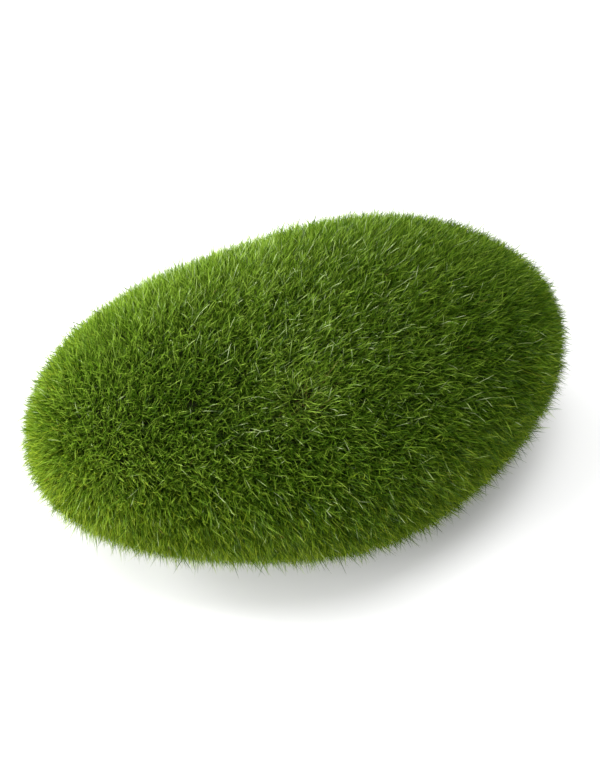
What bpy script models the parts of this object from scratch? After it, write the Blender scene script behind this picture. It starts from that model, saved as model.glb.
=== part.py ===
"""Moss stone: a flattened, slightly lopsided pebble covered all over in moss pile.

Metres, +Z up. The pebble rests on a small flat spot at z = 0, its length along X.
The one solid reaches the tips of the pile, and its skin is made of low tufts that
lean with the nap, as the strands do.
"""
import math
import random

import bmesh
import bpy
from mathutils import Vector

# The body, measured to the tips of the pile
HALF_LENGTH = 0.0768
HALF_WIDTH = 0.0498
CROWN_HEIGHT = 0.0343  # from the widest level up to the top
BELLY_DEPTH = 0.0325  # from the widest level down to where the round belly would end
REST_DEPTH = 0.0305  # from the widest level down to the flat spot it rests on
CENTRE = Vector((0.0009, 0.0018, REST_DEPTH))
FULLNESS = 2.3  # exponent of the profile from rim to top: 2 is an ellipse, more is fuller

# Seen from above, the outline has three soft corners
CORNER_RISE = 0.00225
CORNER_DIRECTION = math.radians(38)  # of one corner from +X, with the others a third of a turn on

# The way the whole pile leans: how far it runs sideways as it rises by 1
NAP = Vector((0.22, -0.33, 0.09))

# The tufts
GAP_COUNT = 1600  # low points between the tufts; there is a tuft between every three
GAP_DEPTH = 0.0042
GAP_JITTER = 0.3  # how far a gap strays from an even spacing, as a share of it
TUFT_UNEVENNESS = 0.0012  # how far the lowest tufts stay below the tips
FLOOR_FADE = 0.0050  # the pile is pressed flat where the belly comes this near the floor
SEED = 7

MOSS_GREEN = (0.062, 0.107, 0.012, 1.0)
MOSS_ROUGHNESS = 0.85


def clear_scene():
    """Remove every object that the file starts with."""
    for thing in list(bpy.data.objects):
        bpy.data.objects.remove(thing, do_unlink=True)


def reach(direction):
    """Distance from the centre to the tips of the pile along a unit direction."""
    around = math.atan2(direction.y, direction.x)
    oval = 1 / math.hypot(math.cos(around) / HALF_LENGTH, math.sin(around) / HALF_WIDTH)
    outline = oval + CORNER_RISE * math.cos(3 * (around - CORNER_DIRECTION))
    half_height = CROWN_HEIGHT if direction.z > 0 else BELLY_DEPTH
    sideways = math.hypot(direction.x, direction.y) / outline
    upwards = abs(direction.z) / half_height
    return (sideways**FULLNESS + upwards**FULLNESS) ** (-1 / FULLNESS)


def skin_point(direction, depth):
    """Point of the skin at a depth below the tips, pressed flat where it meets the floor."""
    tip_level = REST_DEPTH + direction.z * reach(direction)
    standing = min(max(tip_level / FLOOR_FADE, 0), 1)
    point = CENTRE + direction * (reach(direction) - depth * standing)
    point.z = max(point.z, 0)
    return point


def even_directions(count, jitter, rng):
    """Unit directions that spread the points evenly over the long, flat body."""
    stretch = Vector((HALF_LENGTH, HALF_WIDTH, (CROWN_HEIGHT + BELLY_DEPTH) / 2))
    golden_angle = math.pi * (3 - math.sqrt(5))
    spacing = math.sqrt(4 * math.pi / count)
    directions = []
    for index in range(count):
        level = 1 - 2 * (index + 0.5) / count
        around = golden_angle * index
        ring = math.sqrt(1 - level * level)
        stray = Vector([rng.uniform(-1, 1) for _ in range(3)]) * jitter * spacing
        point = Vector((ring * math.cos(around), ring * math.sin(around), level)) + stray
        spread = Vector([point[axis] * stretch[axis] ** (2 / 3) for axis in range(3)])
        directions.append(spread.normalized())
    return directions


def raise_tuft(mesh, face, rng):
    """Poke a triangle of the skin up into one leaning tuft."""
    if all(corner.co.z == 0 for corner in face.verts):
        return
    middle = face.calc_center_median()
    outward = face.normal.copy()
    tip = skin_point((middle - CENTRE).normalized(), rng.uniform(0, TUFT_UNEVENNESS))
    standing = min(tip.z / FLOOR_FADE, 1)
    tip += (NAP - outward * NAP.dot(outward)) * GAP_DEPTH * standing
    tip.z = max(tip.z, 0)
    poked = bmesh.ops.poke(mesh, faces=[face])
    poked["verts"][0].co = tip


def moss_material():
    """Rough green of dry moss pile."""
    material = bpy.data.materials.new("moss_pile")
    material.use_nodes = True
    shader = material.node_tree.nodes["Principled BSDF"]
    shader.inputs["Base Color"].default_value = MOSS_GREEN
    shader.inputs["Roughness"].default_value = MOSS_ROUGHNESS
    shader.inputs["Metallic"].default_value = 0.0
    return material


def moss_stone():
    """The whole thing: one closed, tufted pebble."""
    rng = random.Random(SEED)
    mesh = bmesh.new()
    for direction in even_directions(GAP_COUNT, GAP_JITTER, rng):
        mesh.verts.new(direction)
    bmesh.ops.convex_hull(mesh, input=mesh.verts)
    for corner in mesh.verts:
        corner.co = skin_point(corner.co.normalized(), GAP_DEPTH)
    bmesh.ops.recalc_face_normals(mesh, faces=mesh.faces)
    for face in list(mesh.faces):
        raise_tuft(mesh, face, rng)
    bmesh.ops.recalc_face_normals(mesh, faces=mesh.faces)

    data = bpy.data.meshes.new("moss_stone")
    mesh.to_mesh(data)
    mesh.free()
    data.materials.append(moss_material())
    data.shade_smooth()
    stone = bpy.data.objects.new("moss_stone", data)
    bpy.context.collection.objects.link(stone)
    return stone


clear_scene()
moss_stone()
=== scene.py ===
"""Looks of the moss stone: a dark backing and, rooted in it, strands of moss pile."""

import math

import bmesh
import bpy
import numpy as np
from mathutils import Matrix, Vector


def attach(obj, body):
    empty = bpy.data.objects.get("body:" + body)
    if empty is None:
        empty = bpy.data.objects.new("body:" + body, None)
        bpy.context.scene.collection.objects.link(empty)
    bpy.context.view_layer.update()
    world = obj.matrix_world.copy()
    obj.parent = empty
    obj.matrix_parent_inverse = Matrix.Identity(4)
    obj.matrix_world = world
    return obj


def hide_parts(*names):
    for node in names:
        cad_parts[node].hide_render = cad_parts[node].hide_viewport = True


MM = 0.001

# The body, measured to the tips of the pile, as in the part
HALF_LENGTH = 0.0768
HALF_WIDTH = 0.0498
CROWN_HEIGHT = 0.0343
BELLY_DEPTH = 0.0325
REST_DEPTH = 0.0305
CENTRE = np.array((0.0009, 0.0018, REST_DEPTH))
FULLNESS = 2.3
CORNER_RISE = 0.00225
CORNER_DIRECTION = math.radians(38)

# What the strands stand on
PILE_DEPTH = 7.4 * MM  # from the tips down to the backing, where the strands are rooted
FLOOR_GAP = 0.2 * MM  # least height of a strand above the floor
BACKING_GAP = 1.2 * MM  # least height of the backing above the floor
BACKING_POINTS = 4000
BACKING_SEED = 3
NORMAL_STEP = 0.01  # how far apart the directions are that a normal is worked out from
OFF_AXIS = (0.31, 0.22, 0.93)  # any direction that no strand takes exactly

# Layers that are split up, or that only some of the clumps have
PILE_PARTS = 3  # meshes that the pile itself is made as
GLINTS = 5000
STRAYS = 2600
BELT_SLOPE = 0.75  # the strays grow where the skin's normal points up or down less than this

# Clumps of strands, which make the tufts
CLUMPS = 9000
CLUMP_SEED = 1
SHUFFLE_SEED = 2
CLUMP_JITTER = 0.2  # how far a clump strays from an even spacing, as a share of it
CLUMP_SPREAD = 0.9 * MM  # how far the strands of a clump are rooted from its middle
CLUMP_LEAN = 0.18  # how far a whole clump leans its own way
CLUMP_HEIGHTS = (0.88, 1.06)  # shortest and tallest clump
GATHER = (-0.1, 0.2)  # how far the tips move to the middle of their clump, as a share of the way

# Lean of the strands, as the run sideways for a rise of 1
NAP = np.array((0.22, -0.33, 0.09))
STRAND_LEAN = 0.40  # how far a single strand leans its own way
WHORL_UNREST = 0.6  # added to the lean of single strands at the whorl
CURL = 0.07  # how far its lower half strays from its lean
BEND_PLACE = 0.5  # how far up a strand its bend is
BEND_LEAN = 0.8  # share of the lean that a strand has up to its bend
LEAST_SLOPE = 0.3  # the flattest slope that a strand's length is worked out from
LENGTH_LIMIT = 1.35  # longest strand, as a multiple of its rise

# The whorl, where the pile is parted down to brown roots
WHORL = np.array((-0.0098, -0.0215, 0.0617))
WHORL_SIZE = 6.0 * MM
WHORL_AWAY = 0.6  # lean away from its middle
WHORL_TURN = 0.25  # lean round its middle

# The crown, where the pile is most open and darkest, partly from painted shade, and small dark
# openings in the pile
CROWN = np.array((-0.0385, -0.0060, 0.0608))
CROWN_SIZE = 13.0 * MM
CROWN_OPENINGS = 9
CROWN_SPREAD = 0.4  # how far these lie from the middle of the crown, as a share of its size
OPENINGS = 420
OPENINGS_SEED = 11
OPENING_JITTER = 1.5
OPENING_SIZE = 1.3 * MM
OPENING_REACH = 3  # how far off an opening still bends strands, as a multiple of its size
OPENING_AWAY = 0.5  # lean away from its middle

# Tints run from 0, the darkest green, to 0.74, the palest; then come pale strands, which are painted
# glints, and brown strands
TINT_STOPS = (  # tint, colour
    (0.00, (0.034, 0.090, 0.002)),
    (0.30, (0.108, 0.235, 0.012)),
    (0.55, (0.265, 0.450, 0.028)),
    (0.74, (0.460, 0.670, 0.080)),
    # pale stops, for the strands that are painted glints
    (0.80, (0.660, 0.840, 0.280)),
    (0.88, (0.840, 0.990, 0.520)),
    (0.95, (0.280, 0.170, 0.055)),
)
GREEN_TINTS = (0.02, 0.73)
PALE_TINTS = (0.78, 0.89)
BROWN_TINTS = (0.95, 0.99)
MIDDLE_TINT = 0.41
TINT_SPREAD = 0.27  # from strand to strand
TINT_DRIFT = 0.03  # from place to place
DRIFT_WAVELENGTH = 30 * MM
DRIFT_SEED = 5
PAINTED_LIGHT_WAY = np.array((-0.87, 1.60, 0.92))  # painted light, paler towards the lamps: the tint rises by this much per metre
PAINTED_LIGHT_AND_TINT_PATCHES = (  # paler or darker parts of the pile, mostly painted light and shade, the whorl partly its own paler tint: place, size, change of tint
    (CROWN, CROWN_SIZE, -0.15),
    (WHORL, WHORL_SIZE, 0.18),
    (np.array((-0.0170, 0.0080, 0.0630)), 22 * MM, 0.07),
    (np.array((0.0560, -0.0250, 0.0450)), 22 * MM, -0.09),
    (np.array((-0.0180, -0.0450, 0.0380)), 20 * MM, -0.09),
    (np.array((-0.0600, -0.0165, 0.0480)), 14 * MM, 0.07),
)

# Where pale strands, the painted glints, and brown strands grow
PAINTED_GLINTS_MIDDLE = np.array((-0.004, 0.012, 0.062))  # the middle of the part with the most pale strands, the painted glints
PAINTED_GLINTS_SIZE = 43 * MM
PALE_ANYWHERE = 0.05  # a layer's share of pale strands is multiplied by this all over
PALE_IN_PAINTED_GLINTS = 1.4  # and by this more in the part with the most painted glints
PALE_WHORL = 1.5  # and by this more at the whorl
PALE_PATCHINESS = 0.5
PALE_WAVELENGTH = 20 * MM
PALE_SEED = 8
BROWN_ANYWHERE = 0.0008  # share of brown strands all over

# Smooth random values
WAVES = 14
WAVELENGTH_RANGE = (0.7, 1.5)  # shortest and longest wave, as multiples of the given one

# The ramp holds the green tints in its first half and the olive ones, painted light shining through
# the pile low on the stone, in its second
TINT_SCALE = 0.49
OLIVE_TINTS = 0.505
OLIVE_RED = 1.18
OLIVE_BLUE = 0.75
OLIVE_TOP = 55 * MM  # height where the olive strands, painted light, begin
OLIVE_FADE = 35 * MM  # how far below that all strands are olive
TINT_HALF_WIDTH = 0.002  # half the width of a strand in the UV map, as a change of tint

# Painted shade deep in the pile: a strand's colour is multiplied by these at its root and at a share
# of its length up
ROOT_PAINTED_SHADE = (0.10, 0.13, 0.10, 1)
LOW_PAINTED_SHADE = (0.35, 0.39, 0.36, 1)
LOW_HEIGHT = 0.40
STRAND_ROUGHNESS = 0.35
STRAND_SPECULAR = 0.2
SEE_THROUGH = 0.35

BACKING_DARK = (0.006, 0.010, 0.001, 1)
BACKING_LIGHT = (0.026, 0.036, 0.004, 1)
BACKING_ROUGHNESS = 0.95
MOTTLE_SCALE = 900

# Sockets of the colour mix and the shader mix node that share their names with others
MIX_A, MIX_B, MIX_RESULT = 6, 7, 2
SHADER_A, SHADER_B = 1, 2

# Camera and light
LENS = 100
SENSOR_WIDTH = 36
ELEVATION = 52
AZIMUTH = -21.33
DISTANCE = 0.5731
AIM_RIGHT = -1.29 * MM
AIM_DOWN = 0.14 * MM
WORLD_STRENGTH = 0.75
SOFTBOXES = (  # name, azimuth, elevation, side, power
    ("left", 180, 12, 0.4, 13),
    ("back_left", 135, 12, 0.4, 13),
    ("high_left", 135, 58, 0.5, 3.5),
    ("top", 0, 80, 0.5, 5.2),
)
FLOOR_SIZE = 6
FLOOR_WHITE = (0.92, 0.92, 0.92, 1)
FLOOR_ROUGHNESS = 0.9
FLOOR_SPECULAR = 0.1


def unit(vectors):
    """The vectors, each at length 1."""
    return vectors / np.maximum(np.linalg.norm(vectors, axis=-1, keepdims=True), 1e-12)


def tip_surface(directions):
    """Points of the surface that the tips of the pile reach, along unit directions."""
    around = np.arctan2(directions[:, 1], directions[:, 0])
    oval = 1 / np.hypot(np.cos(around) / HALF_LENGTH, np.sin(around) / HALF_WIDTH)
    outline = oval + CORNER_RISE * np.cos(3 * (around - CORNER_DIRECTION))
    half_height = np.where(directions[:, 2] > 0, CROWN_HEIGHT, BELLY_DEPTH)
    sideways = np.hypot(directions[:, 0], directions[:, 1]) / outline
    upwards = np.abs(directions[:, 2]) / half_height
    reach = (sideways**FULLNESS + upwards**FULLNESS) ** (-1 / FULLNESS)
    return CENTRE + directions * reach[:, None]


def outward(directions):
    """Unit normals of the tip surface."""
    across = unit(np.cross(directions, OFF_AXIS))
    along = np.cross(directions, across)
    here = tip_surface(directions)
    one = tip_surface(unit(directions + across * NORMAL_STEP)) - here
    other = tip_surface(unit(directions + along * NORMAL_STEP)) - here
    normals = unit(np.cross(one, other))
    return normals * np.sign((normals * directions).sum(1))[:, None]


def even_directions(count, rng, jitter):
    """Unit directions that spread points evenly over the long, flat body."""
    stretch = np.array((HALF_LENGTH, HALF_WIDTH, (CROWN_HEIGHT + BELLY_DEPTH) / 2)) ** (2 / 3)
    index = np.arange(count)
    level = 1 - 2 * (index + 0.5) / count
    around = math.pi * (3 - math.sqrt(5)) * index
    ring = np.sqrt(1 - level**2)
    points = np.stack((ring * np.cos(around), ring * np.sin(around), level), 1)
    points += rng.uniform(-1, 1, points.shape) * jitter * math.sqrt(4 * math.pi / count)
    return unit(points * stretch)


def along_skin(vectors, normals):
    """The part of each vector that runs along the skin."""
    return vectors - normals * (vectors * normals).sum(1)[:, None]


def waves(points, wavelength, rng):
    """Smooth random values about 0 with a spread of about 1, by summing plane waves."""
    total = np.zeros(len(points))
    for _ in range(WAVES):
        heading = unit(rng.normal(size=3))
        length = wavelength * rng.uniform(*WAVELENGTH_RANGE)
        total += np.sin(points @ heading * (2 * math.pi / length) + rng.uniform(0, 2 * math.pi))
    return total * math.sqrt(2 / WAVES)


def nearness(points, place, size):
    """How near each point is to a place: 1 there, fading to 0 over a few times the size."""
    return np.exp(-((points - place) ** 2).sum(1) / size**2)


def above_floor(points, gap):
    """Points lifted to stay above the floor by a gap."""
    lifted = points.copy()
    lifted[..., 2] = np.maximum(lifted[..., 2], gap)
    return lifted


def object_of(mesh):
    """Object in the scene that shows a mesh, under the mesh's name."""
    piece = bpy.data.objects.new(mesh.name, mesh)
    bpy.context.collection.objects.link(piece)
    return piece


def link(tree, source, output, target, socket):
    """Join a node's output to another's socket."""
    tree.links.new(source.outputs[output], target.inputs[socket])


def strand_material():
    """Matte green strand, dark at the root as painted shade and pale at the tip, that lets light
    through.
    """
    material = bpy.data.materials.new("moss_strand")
    material.use_nodes = True
    tree = material.node_tree
    shader = tree.nodes["Principled BSDF"]
    output = tree.nodes["Material Output"]
    tint = tree.nodes.new("ShaderNodeAttribute")
    tint.attribute_name = "tint"
    ramp = tree.nodes.new("ShaderNodeValToRGB")
    elements = ramp.color_ramp.elements
    elements.remove(elements[1])
    for place, (red, green, blue) in TINT_STOPS:
        elements.new(place * TINT_SCALE).color = (red, green, blue, 1)
        # olive copy of each stop, painted light shining through the pile
        olive = (red * OLIVE_RED, green, blue * OLIVE_BLUE, 1)
        elements.new(OLIVE_TINTS + place * TINT_SCALE).color = olive
    elements.remove(elements[0])
    height = tree.nodes.new("ShaderNodeAttribute")
    height.attribute_name = "height"
    # painted shade: the strand darkens towards its root
    painted_shade = tree.nodes.new("ShaderNodeValToRGB")
    painted_shades = painted_shade.color_ramp.elements
    painted_shades[0].color = ROOT_PAINTED_SHADE
    painted_shades[1].color = (1, 1, 1, 1)
    painted_shades.new(LOW_HEIGHT).color = LOW_PAINTED_SHADE
    mix = tree.nodes.new("ShaderNodeMix")
    mix.data_type = "RGBA"
    mix.blend_type = "MULTIPLY"
    mix.inputs["Factor"].default_value = 1
    link(tree, tint, "Fac", ramp, "Fac")
    link(tree, height, "Fac", painted_shade, "Fac")
    link(tree, ramp, "Color", mix, MIX_A)
    link(tree, painted_shade, "Color", mix, MIX_B)
    link(tree, mix, MIX_RESULT, shader, "Base Color")
    shader.inputs["Roughness"].default_value = STRAND_ROUGHNESS
    shader.inputs["Specular IOR Level"].default_value = STRAND_SPECULAR
    through = tree.nodes.new("ShaderNodeBsdfTranslucent")
    link(tree, mix, MIX_RESULT, through, "Color")
    both = tree.nodes.new("ShaderNodeMixShader")
    both.inputs["Fac"].default_value = SEE_THROUGH
    link(tree, shader, "BSDF", both, SHADER_A)
    link(tree, through, "BSDF", both, SHADER_B)
    link(tree, both, "Shader", output, "Surface")
    return material


def backing_material():
    """Dark, mottled green backing that the strands are rooted in."""
    material = bpy.data.materials.new("moss_backing")
    material.use_nodes = True
    tree = material.node_tree
    shader = tree.nodes["Principled BSDF"]
    noise = tree.nodes.new("ShaderNodeTexNoise")
    noise.inputs["Scale"].default_value = MOTTLE_SCALE
    ramp = tree.nodes.new("ShaderNodeValToRGB")
    ramp.color_ramp.elements[0].color = BACKING_DARK
    ramp.color_ramp.elements[1].color = BACKING_LIGHT
    link(tree, noise, "Fac", ramp, "Fac")
    link(tree, ramp, "Color", shader, "Base Color")
    shader.inputs["Roughness"].default_value = BACKING_ROUGHNESS
    return material


def backing():
    """Closed body under the pile."""
    form = bmesh.new()
    for direction in even_directions(BACKING_POINTS, np.random.default_rng(BACKING_SEED), 0):
        form.verts.new(direction)
    bmesh.ops.convex_hull(form, input=form.verts)
    form.verts.ensure_lookup_table()
    placed = unit(np.array([corner.co for corner in form.verts]))
    points = above_floor(tip_surface(placed) - outward(placed) * PILE_DEPTH, BACKING_GAP)
    for corner, point in zip(form.verts, points):
        corner.co = point
    bmesh.ops.recalc_face_normals(form, faces=form.faces)
    mesh = bpy.data.meshes.new("moss_backing")
    form.to_mesh(mesh)
    form.free()
    mesh.shade_smooth()
    mesh.materials.append(backing_material())
    return object_of(mesh)


def whorl_lean(points, normals):
    """Sideways lean away from the whorl and a little round it."""
    away = along_skin(points - WHORL, normals)
    lean = unit(away) * WHORL_AWAY + unit(np.cross(normals, away)) * WHORL_TURN
    return lean * nearness(points, WHORL, WHORL_SIZE)[:, None]


def openings_lean(points, normals):
    """Sideways lean away from the small dark openings between the tufts."""
    rng = np.random.default_rng(OPENINGS_SEED)
    scattered = even_directions(OPENINGS, rng, OPENING_JITTER)
    strays = rng.normal(0, CROWN_SPREAD * CROWN_SIZE, (CROWN_OPENINGS, 3))
    crown = unit(CROWN - CENTRE + strays)
    lean = np.zeros_like(points)
    for centre in tip_surface(np.concatenate((scattered, crown))):
        squares = ((points - centre) ** 2).sum(1)
        close = np.nonzero(squares < (OPENING_REACH * OPENING_SIZE) ** 2)[0]
        away = along_skin(points[close] - centre, normals[close])
        distance = np.linalg.norm(away, axis=1, keepdims=True)
        fade = np.exp(-((distance / OPENING_SIZE) ** 2))
        lean[close] += away / OPENING_SIZE * fade * OPENING_AWAY
    return lean


def strand_tints(points, rng, shift, pale_share, brown_share):
    """Tint of each strand: greens about a slow drift over the stone, with painted light and shade,
    pale strands as painted glints, brown ones, and olive ones as painted light.
    """
    count = len(points)
    near_whorl = nearness(points, WHORL, WHORL_SIZE)
    # Painted light: strands are paler towards the lamps
    tints = MIDDLE_TINT + shift + rng.normal(0, TINT_SPREAD, count) + (points - CENTRE) @ PAINTED_LIGHT_WAY
    tints += TINT_DRIFT * waves(points, DRIFT_WAVELENGTH, np.random.default_rng(DRIFT_SEED))
    # Painted light and shade in patches, and the whorl's partly own paler tint
    for place, size, change in PAINTED_LIGHT_AND_TINT_PATCHES:
        tints += change * nearness(points, place, size)

    # Pale strands are painted glints: most grow in one part of the top, fewer in the crown, more at
    # the whorl
    pale_waves = waves(points, PALE_WAVELENGTH, np.random.default_rng(PALE_SEED))
    patchy = 1 + PALE_PATCHINESS * pale_waves
    patchy *= PALE_ANYWHERE + PALE_IN_PAINTED_GLINTS * nearness(points, PAINTED_GLINTS_MIDDLE, PAINTED_GLINTS_SIZE)
    patchy *= 1 - nearness(points, CROWN, CROWN_SIZE)
    patchy += PALE_WHORL * near_whorl
    pale = rng.uniform(size=count) < pale_share * patchy
    brown = rng.uniform(size=count) < BROWN_ANYWHERE + brown_share * near_whorl
    tints = np.where(pale, rng.uniform(*PALE_TINTS, count), np.clip(tints, *GREEN_TINTS))
    tints = np.where(brown, rng.uniform(*BROWN_TINTS, count), tints) * TINT_SCALE
    # Olive strands low on the stone are painted light shining through the pile
    olive = rng.uniform(size=count) < (OLIVE_TOP - points[:, 2]) / OLIVE_FADE
    return tints + np.where(olive & ~pale, OLIVE_TINTS, 0)


def strands(name, roots, bends, tips, facing, widths, rows, tints, material):
    """Joined mesh of flat, tapered strands, each a curve from root over bend to tip."""
    count = len(roots)
    heights = np.array(rows)
    share = heights[None, :, None]
    middle = (
        (1 - share) ** 2 * roots[:, None]
        + 2 * share * (1 - share) * bends[:, None]
        + share**2 * tips[:, None]
    )
    side = unit(np.cross(tips - roots, facing))
    half = 0.5 * widths[:, None, None] * np.sqrt(1 - share**2) * side[:, None]
    pairs = np.stack((middle - half, middle + half), 2).reshape(count, -1, 3)
    points = above_floor(np.concatenate((pairs, tips[:, None]), 1), FLOOR_GAP)
    per_strand = points.shape[1]

    pattern = []
    for row in range(len(rows) - 1):
        low = 2 * row
        pattern += [(low, low + 1, low + 3), (low, low + 3, low + 2)]
    pattern.append((per_strand - 3, per_strand - 2, per_strand - 1))
    faces = (np.arange(count)[:, None, None] * per_strand + np.array(pattern)).reshape(-1, 3)

    mesh = bpy.data.meshes.new(name)
    mesh.from_pydata(points.reshape(-1, 3), [], faces)
    height = np.tile(np.append(np.repeat(heights, 2), 1.0), count)
    tint = np.repeat(tints, per_strand)
    row_sides = np.tile((-TINT_HALF_WIDTH, TINT_HALF_WIDTH), len(rows))
    sideways = np.tile(np.append(row_sides, 0.0), count)
    mesh.attributes.new("tint", "FLOAT", "POINT").data.foreach_set("value", tint)
    mesh.attributes.new("height", "FLOAT", "POINT").data.foreach_set("value", height)
    corners = faces.reshape(-1)
    uv = np.stack((tint[corners] + sideways[corners], height[corners]), 1)
    mesh.uv_layers.new(name="OFBake").data.foreach_set("uv", uv.reshape(-1).astype(np.float32))
    mesh.materials.append(material)
    return object_of(mesh)


def pile(
    name,
    clumps,
    per_clump,
    seed,
    material,
    rises,
    widths,
    rows=(0,),
    tail=0.0,
    top=1.0,
    flat=0.0,
    shift=0.0,
    pale=0.0,
    brown=0.0,
):
    """Strands in tufts: those of one clump lean together and their tips gather.

    The strands rise by shares of the pile's depth between the two rises, a few of them
    further by the tail, and none past the top. Widths are in mm. A strand has a pair of
    corners at each row, a share of its length, and with flat its broad side faces outward.
    Shift is a change of tint, and pale and brown are shares of strands; the pale ones are painted
    glints.
    """
    rng = np.random.default_rng(seed)
    count = len(clumps) * per_clump
    clump_points = tip_surface(clumps)
    clump_lean = np.repeat(rng.normal(0, CLUMP_LEAN, (len(clumps), 3)), per_clump, 0)
    clump_tall = np.repeat(rng.uniform(*CLUMP_HEIGHTS, len(clumps)), per_clump)
    around = np.repeat(clump_points, per_clump, 0) + rng.normal(0, CLUMP_SPREAD, (count, 3))
    directions = unit(around - CENTRE)
    normals = outward(directions)
    surface = tip_surface(directions)
    roots = surface - normals * PILE_DEPTH
    near_whorl = nearness(surface, WHORL, WHORL_SIZE)[:, None]
    lean = NAP + clump_lean + rng.normal(0, STRAND_LEAN, (count, 3))
    lean += rng.normal(0, WHORL_UNREST, (count, 3)) * near_whorl
    lean = along_skin(lean, normals) + whorl_lean(surface, normals) + openings_lean(surface, normals)
    aim = unit(normals + lean)
    rise = rng.uniform(*rises, count) * clump_tall + rng.exponential(tail, count)
    rise = PILE_DEPTH * np.minimum(rise, top)
    slope = np.maximum((aim * normals).sum(1), LEAST_SLOPE)
    length = np.minimum(rise / slope, LENGTH_LIMIT * rise)
    tips = roots + aim * length[:, None]
    clump_tips = tips.reshape(len(clumps), per_clump, 3).mean(1)
    tips += (np.repeat(clump_tips, per_clump, 0) - tips) * rng.uniform(*GATHER, (count, 1))
    curl = rng.normal(0, CURL, (count, 3))
    bends = roots + unit(normals + BEND_LEAN * lean + curl) * (length * BEND_PLACE)[:, None]
    tints = strand_tints(surface, rng, shift, pale, brown)
    facing = rng.normal(0, 1, (count, 3)) + normals * flat
    strand_widths = rng.uniform(*widths, count) * MM
    return strands(name, roots, bends, tips, facing, strand_widths, rows, tints, material)


def undercoat(clumps, material):
    """Short strands that hide the backing, darker as painted shade deep in the pile."""
    return pile(
        "moss_undercoat", clumps, 14, 20, material,
        rises=(0.25, 0.60), widths=(0.16, 0.26), shift=-0.12, brown=0.5,
    )


def leaning_pile(part, clumps, material):
    """One part of the pile itself, of curved strands."""
    return pile(
        f"moss_pile_{part}", clumps, 16, 29 + part, material,
        rises=(0.46, 0.73), widths=(0.15, 0.21), rows=(0, 0.75), tail=0.07, pale=0.01, brown=0.04,
    )


def wisps(clumps, material):
    """Straight, broader and slightly paler strands among the pile."""
    return pile(
        "moss_wisps", clumps, 4, 40, material,
        rises=(0.50, 0.77), widths=(0.30, 0.40), tail=0.08, shift=0.02, pale=0.01, brown=0.04,
    )


def glints(clumps, material):
    """Tall strands, most of them pale as painted glints in the part where those gather, that turn
    their flat side outward.
    """
    return pile(
        "moss_painted_glints", clumps, 1, 50, material,
        rises=(0.76, 0.90), widths=(0.13, 0.18), rows=(0, 0.8), tail=0.05, flat=3.0, pale=0.9,
    )


def strays(clumps, material):
    """The longest strands, which stand out from the sides."""
    return pile(
        "moss_strays", clumps, 1, 60, material,
        rises=(0.88, 1.12), widths=(0.20, 0.28), rows=(0, 0.6), tail=0.04, top=1.2,
        shift=-0.08, pale=0.1,
    )


def moss_stone():
    """The backing and all the moss that covers it."""
    moss = strand_material()
    clumps = even_directions(CLUMPS, np.random.default_rng(CLUMP_SEED), CLUMP_JITTER)
    np.random.default_rng(SHUFFLE_SEED).shuffle(clumps)
    belt = clumps[np.abs(outward(clumps)[:, 2]) < BELT_SLOPE]
    pieces = [backing(), undercoat(clumps, moss)]
    for part, third in enumerate(np.array_split(clumps, PILE_PARTS), 1):
        pieces.append(leaning_pile(part, third, moss))
    pieces.append(wisps(clumps, moss))
    pieces.append(glints(clumps[:GLINTS], moss))
    pieces.append(strays(belt[:STRAYS], moss))
    return pieces


def camera():
    """Camera at the photo's angle."""
    around, up = math.radians(AZIMUTH), math.radians(ELEVATION)
    back = Vector((math.sin(around) * math.cos(up), -math.cos(around) * math.cos(up), math.sin(up)))
    right = Vector((math.cos(around), math.sin(around), 0))
    above = back.cross(right)
    target = Vector(CENTRE) + right * AIM_RIGHT - above * AIM_DOWN
    data = bpy.data.cameras.new("camera")
    data.lens = LENS
    data.sensor_width = SENSOR_WIDTH
    data.clip_start = 0.01
    eye = bpy.data.objects.new("camera", data)
    eye.location = target + back * DISTANCE
    eye.rotation_euler = back.to_track_quat("Z", "Y").to_euler()
    bpy.context.collection.objects.link(eye)
    bpy.context.scene.camera = eye


def softbox(name, azimuth, elevation, side, power):
    """Square soft light a metre from the stone and aimed at it."""
    around, up = math.radians(azimuth), math.radians(elevation)
    towards = Vector((math.cos(around) * math.cos(up), math.sin(around) * math.cos(up), math.sin(up)))
    data = bpy.data.lights.new(name, "AREA")
    data.shape = "SQUARE"
    data.size = side
    data.energy = power
    light = bpy.data.objects.new(name, data)
    light.location = Vector(CENTRE) + towards
    light.rotation_euler = towards.to_track_quat("Z", "Y").to_euler()
    bpy.context.collection.objects.link(light)


def studio():
    """White floor and surroundings, two low soft lights from the left and weaker ones above."""
    world = bpy.data.worlds.new("studio")
    world.use_nodes = True
    background = world.node_tree.nodes["Background"]
    background.inputs["Color"].default_value = (1, 1, 1, 1)
    background.inputs["Strength"].default_value = WORLD_STRENGTH
    bpy.context.scene.world = world
    bpy.context.scene.view_settings.view_transform = "Standard"
    for settings in SOFTBOXES:
        softbox(*settings)
    bpy.ops.mesh.primitive_plane_add(size=FLOOR_SIZE, location=(0, 0, 0))
    floor = bpy.context.object
    floor.name = "floor"
    material = bpy.data.materials.new("floor")
    material.use_nodes = True
    shader = material.node_tree.nodes["Principled BSDF"]
    shader.inputs["Base Color"].default_value = FLOOR_WHITE
    shader.inputs["Roughness"].default_value = FLOOR_ROUGHNESS
    shader.inputs["Specular IOR Level"].default_value = FLOOR_SPECULAR
    floor.data.materials.append(material)


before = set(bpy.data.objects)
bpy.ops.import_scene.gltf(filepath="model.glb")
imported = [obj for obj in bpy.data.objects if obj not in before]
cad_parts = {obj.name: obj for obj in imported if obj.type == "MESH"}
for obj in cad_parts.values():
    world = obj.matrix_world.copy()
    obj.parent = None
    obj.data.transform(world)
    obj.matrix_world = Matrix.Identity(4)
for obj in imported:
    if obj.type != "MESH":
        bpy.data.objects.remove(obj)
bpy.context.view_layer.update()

camera()
studio()
pieces = moss_stone()
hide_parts("moss_stone")
for piece in pieces:
    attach(piece, "root")
